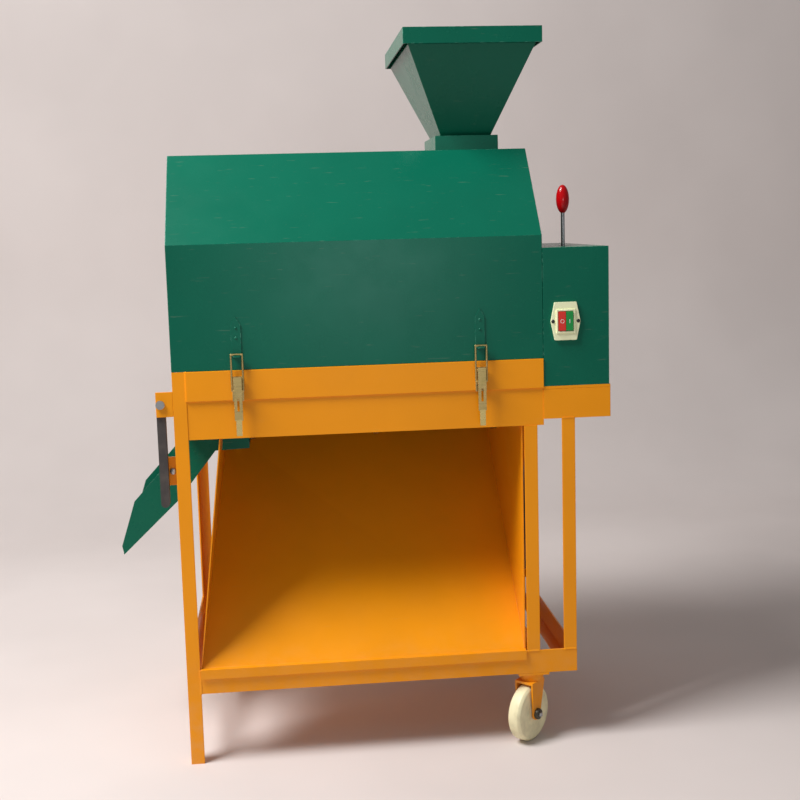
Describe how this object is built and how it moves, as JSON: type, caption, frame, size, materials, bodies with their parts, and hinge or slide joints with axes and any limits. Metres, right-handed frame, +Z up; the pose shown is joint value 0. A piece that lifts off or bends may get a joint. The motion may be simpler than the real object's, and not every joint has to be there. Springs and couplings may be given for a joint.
{
  "type": "walnut huller",
  "caption": "Upright walnut huller on an angle-iron frame: hinged hood with feed hopper over a beater drum, husk chute, nut spout, belt drive with clutch lever, and swivel casters.",
  "frame": {"origin": "middle of the footprint, on the floor", "axes": "+Z up, +X along the machine towards the drive box, -Y towards the operator's side with the latches"},
  "size_m": [0.822, 0.4783, 1.1914],
  "materials": {
    "orange_paint": "gloss",
    "green_paint": "gloss",
    "steel": "satin",
    "iron": "matte",
    "zinc": "satin",
    "black_rubber": "matte",
    "black_plastic": "matte",
    "cream_plastic": "satin",
    "red_plastic": "gloss",
    "green_plastic": "gloss"
  },
  "bodies": {
    "frame": {"front_left_leg": "orange_paint", "rear_left_leg": "orange_paint", "right_posts": "orange_paint", "outer_posts": "orange_paint", "lower_rails": "orange_paint", "cross_rails": "orange_paint", "upper_rails": "orange_paint", "trough_bands": "orange_paint", "left_end_plate": "orange_paint", "right_end_plate": "orange_paint", "concave_screen": "steel", "screen_ribs": "steel", "husk_chute": "orange_paint", "nut_spout": "green_paint", "drive_shelf": "orange_paint", "shelf_rails": "orange_paint", "drive_box": "green_paint", "bearing_housings": "iron", "fasteners": "steel", "switch_plate": "cream_plastic", "switch_body": "black_plastic", "cable_gland": "black_plastic", "motor_body": "iron", "motor_fan_cover": "iron", "motor_base": "orange_paint", "v_belt": "black_rubber", "rocker_brackets": "steel", "latch_bases": "zinc", "grip_lugs": "orange_paint", "grip_bolts": "steel", "hinge_frame_leaves": "steel", "hinge_pins": "steel", "caster_plates": "orange_paint"},
    "hood": {"hood_shell": "green_paint", "hopper": "green_paint", "hopper_collar": "green_paint", "hood_keepers": "green_paint", "hinge_hood_leaves": "green_paint"},
    "drum": {"drum_shaft": "steel", "drum_core": "steel", "drum_bars": "iron"},
    "clutch_sleeve": {"clutch_sleeve": "steel"},
    "drive_pulley": {"drum_pulley": "iron"},
    "motor_rotor": {"motor_shaft": "steel", "motor_pulley": "iron"},
    "clutch_lever": {"lever_rod": "steel", "lever_knob": "red_plastic", "shift_fork": "steel"},
    "stop_button": {"stop_button": "red_plastic"},
    "start_button": {"start_button": "green_plastic"},
    "left_latch": {"left_latch_lever": "zinc"},
    "right_latch": {"right_latch_lever": "zinc"},
    "left_bail": {"left_bail": "zinc"},
    "right_bail": {"right_bail": "zinc"},
    "front_grip": {"front_grip": "black_rubber"},
    "rear_grip": {"rear_grip": "black_rubber"},
    "front_swivel": {"front_caster_fork": "orange_paint"},
    "rear_swivel": {"rear_caster_fork": "orange_paint"},
    "front_wheel": {"front_caster_wheel": "cream_plastic"},
    "rear_wheel": {"rear_caster_wheel": "cream_plastic"}
  },
  "joints": [
    {"name": "hood_hinge", "type": "hinge", "parent": "frame", "child": "hood", "pos_m": [0, 0.23456, 0.654], "axis": [-1, 0, 0], "range_deg": [0, 80]},
    {"name": "drum_spin", "type": "hinge", "parent": "frame", "child": "drum", "pos_m": [0.029, 0.00756, 0.66], "axis": [1, 0, 0], "continuous": true},
    {"name": "sleeve_slide", "type": "slide", "parent": "drum", "child": "clutch_sleeve", "axis": [1, 0, 0], "range_m": [-0.0126, 0.0078]},
    {"name": "pulley_spin", "type": "hinge", "parent": "frame", "child": "drive_pulley", "pos_m": [0.3175, 0.00756, 0.66], "axis": [1, 0, 0], "continuous": true},
    {"name": "motor_spin", "type": "hinge", "parent": "frame", "child": "motor_rotor", "pos_m": [0.3175, 0.13256, 0.237], "axis": [1, 0, 0], "continuous": true},
    {"name": "clutch_swing", "type": "hinge", "parent": "frame", "child": "clutch_lever", "pos_m": [0.355, -0.12044, 0.764], "axis": [0, 1, 0], "range_deg": [-4.2, 6.8]},
    {"name": "stop_press", "type": "slide", "parent": "frame", "child": "stop_button", "axis": [0, 1, 0], "range_m": [0, 0.004], "stiffness_N_per_m": 400},
    {"name": "start_press", "type": "slide", "parent": "frame", "child": "start_button", "axis": [0, 1, 0], "range_m": [0, 0.004], "stiffness_N_per_m": 400},
    {"name": "left_latch_lift", "type": "hinge", "parent": "frame", "child": "left_latch", "pos_m": [-0.197, -0.22144, 0.64], "axis": [-1, 0, 0], "range_deg": [0, 95]},
    {"name": "right_latch_lift", "type": "hinge", "parent": "frame", "child": "right_latch", "pos_m": [0.195, -0.22144, 0.64], "axis": [-1, 0, 0], "range_deg": [0, 95]},
    {"name": "left_bail_turn", "type": "hinge", "parent": "left_latch", "child": "left_bail", "pos_m": [-0.197, -0.22144, 0.622], "axis": [-1, 0, 0], "range_deg": [-95, 0]},
    {"name": "right_bail_turn", "type": "hinge", "parent": "right_latch", "child": "right_bail", "pos_m": [0.195, -0.22144, 0.622], "axis": [-1, 0, 0], "range_deg": [-95, 0]},
    {"name": "front_grip_fold", "type": "hinge", "parent": "frame", "child": "front_grip", "pos_m": [-0.321, -0.20254, 0.603], "axis": [0, 1, 0], "range_deg": [0, 90]},
    {"name": "rear_grip_fold", "type": "hinge", "parent": "frame", "child": "rear_grip", "pos_m": [-0.321, 0.21766, 0.603], "axis": [0, 1, 0], "range_deg": [0, 90]},
    {"name": "front_caster_swivel", "type": "hinge", "parent": "frame", "child": "front_swivel", "pos_m": [0.277, -0.19044, 0.104], "axis": [0, 0, 1], "continuous": true},
    {"name": "rear_caster_swivel", "type": "hinge", "parent": "frame", "child": "rear_swivel", "pos_m": [0.277, 0.20556, 0.104], "axis": [0, 0, 1], "continuous": true},
    {"name": "front_wheel_spin", "type": "hinge", "parent": "front_swivel", "child": "front_wheel", "pos_m": [0.26866, -0.19907, 0.048], "axis": [-0.7193, 0.6947, 0], "continuous": true},
    {"name": "rear_wheel_spin", "type": "hinge", "parent": "rear_swivel", "child": "rear_wheel", "pos_m": [0.26866, 0.19693, 0.048], "axis": [-0.7193, 0.6947, 0], "continuous": true}
  ],
  "couplings": [
    {"joint": "sleeve_slide", "follows": "clutch_swing", "m_per_rad": -0.104},
    {"joint": "motor_spin", "follows": "pulley_spin", "ratio": 2.2739},
    {"joint": "left_bail_turn", "follows": "left_latch_lift", "ratio": -1},
    {"joint": "right_bail_turn", "follows": "right_latch_lift", "ratio": -1}
  ]
}
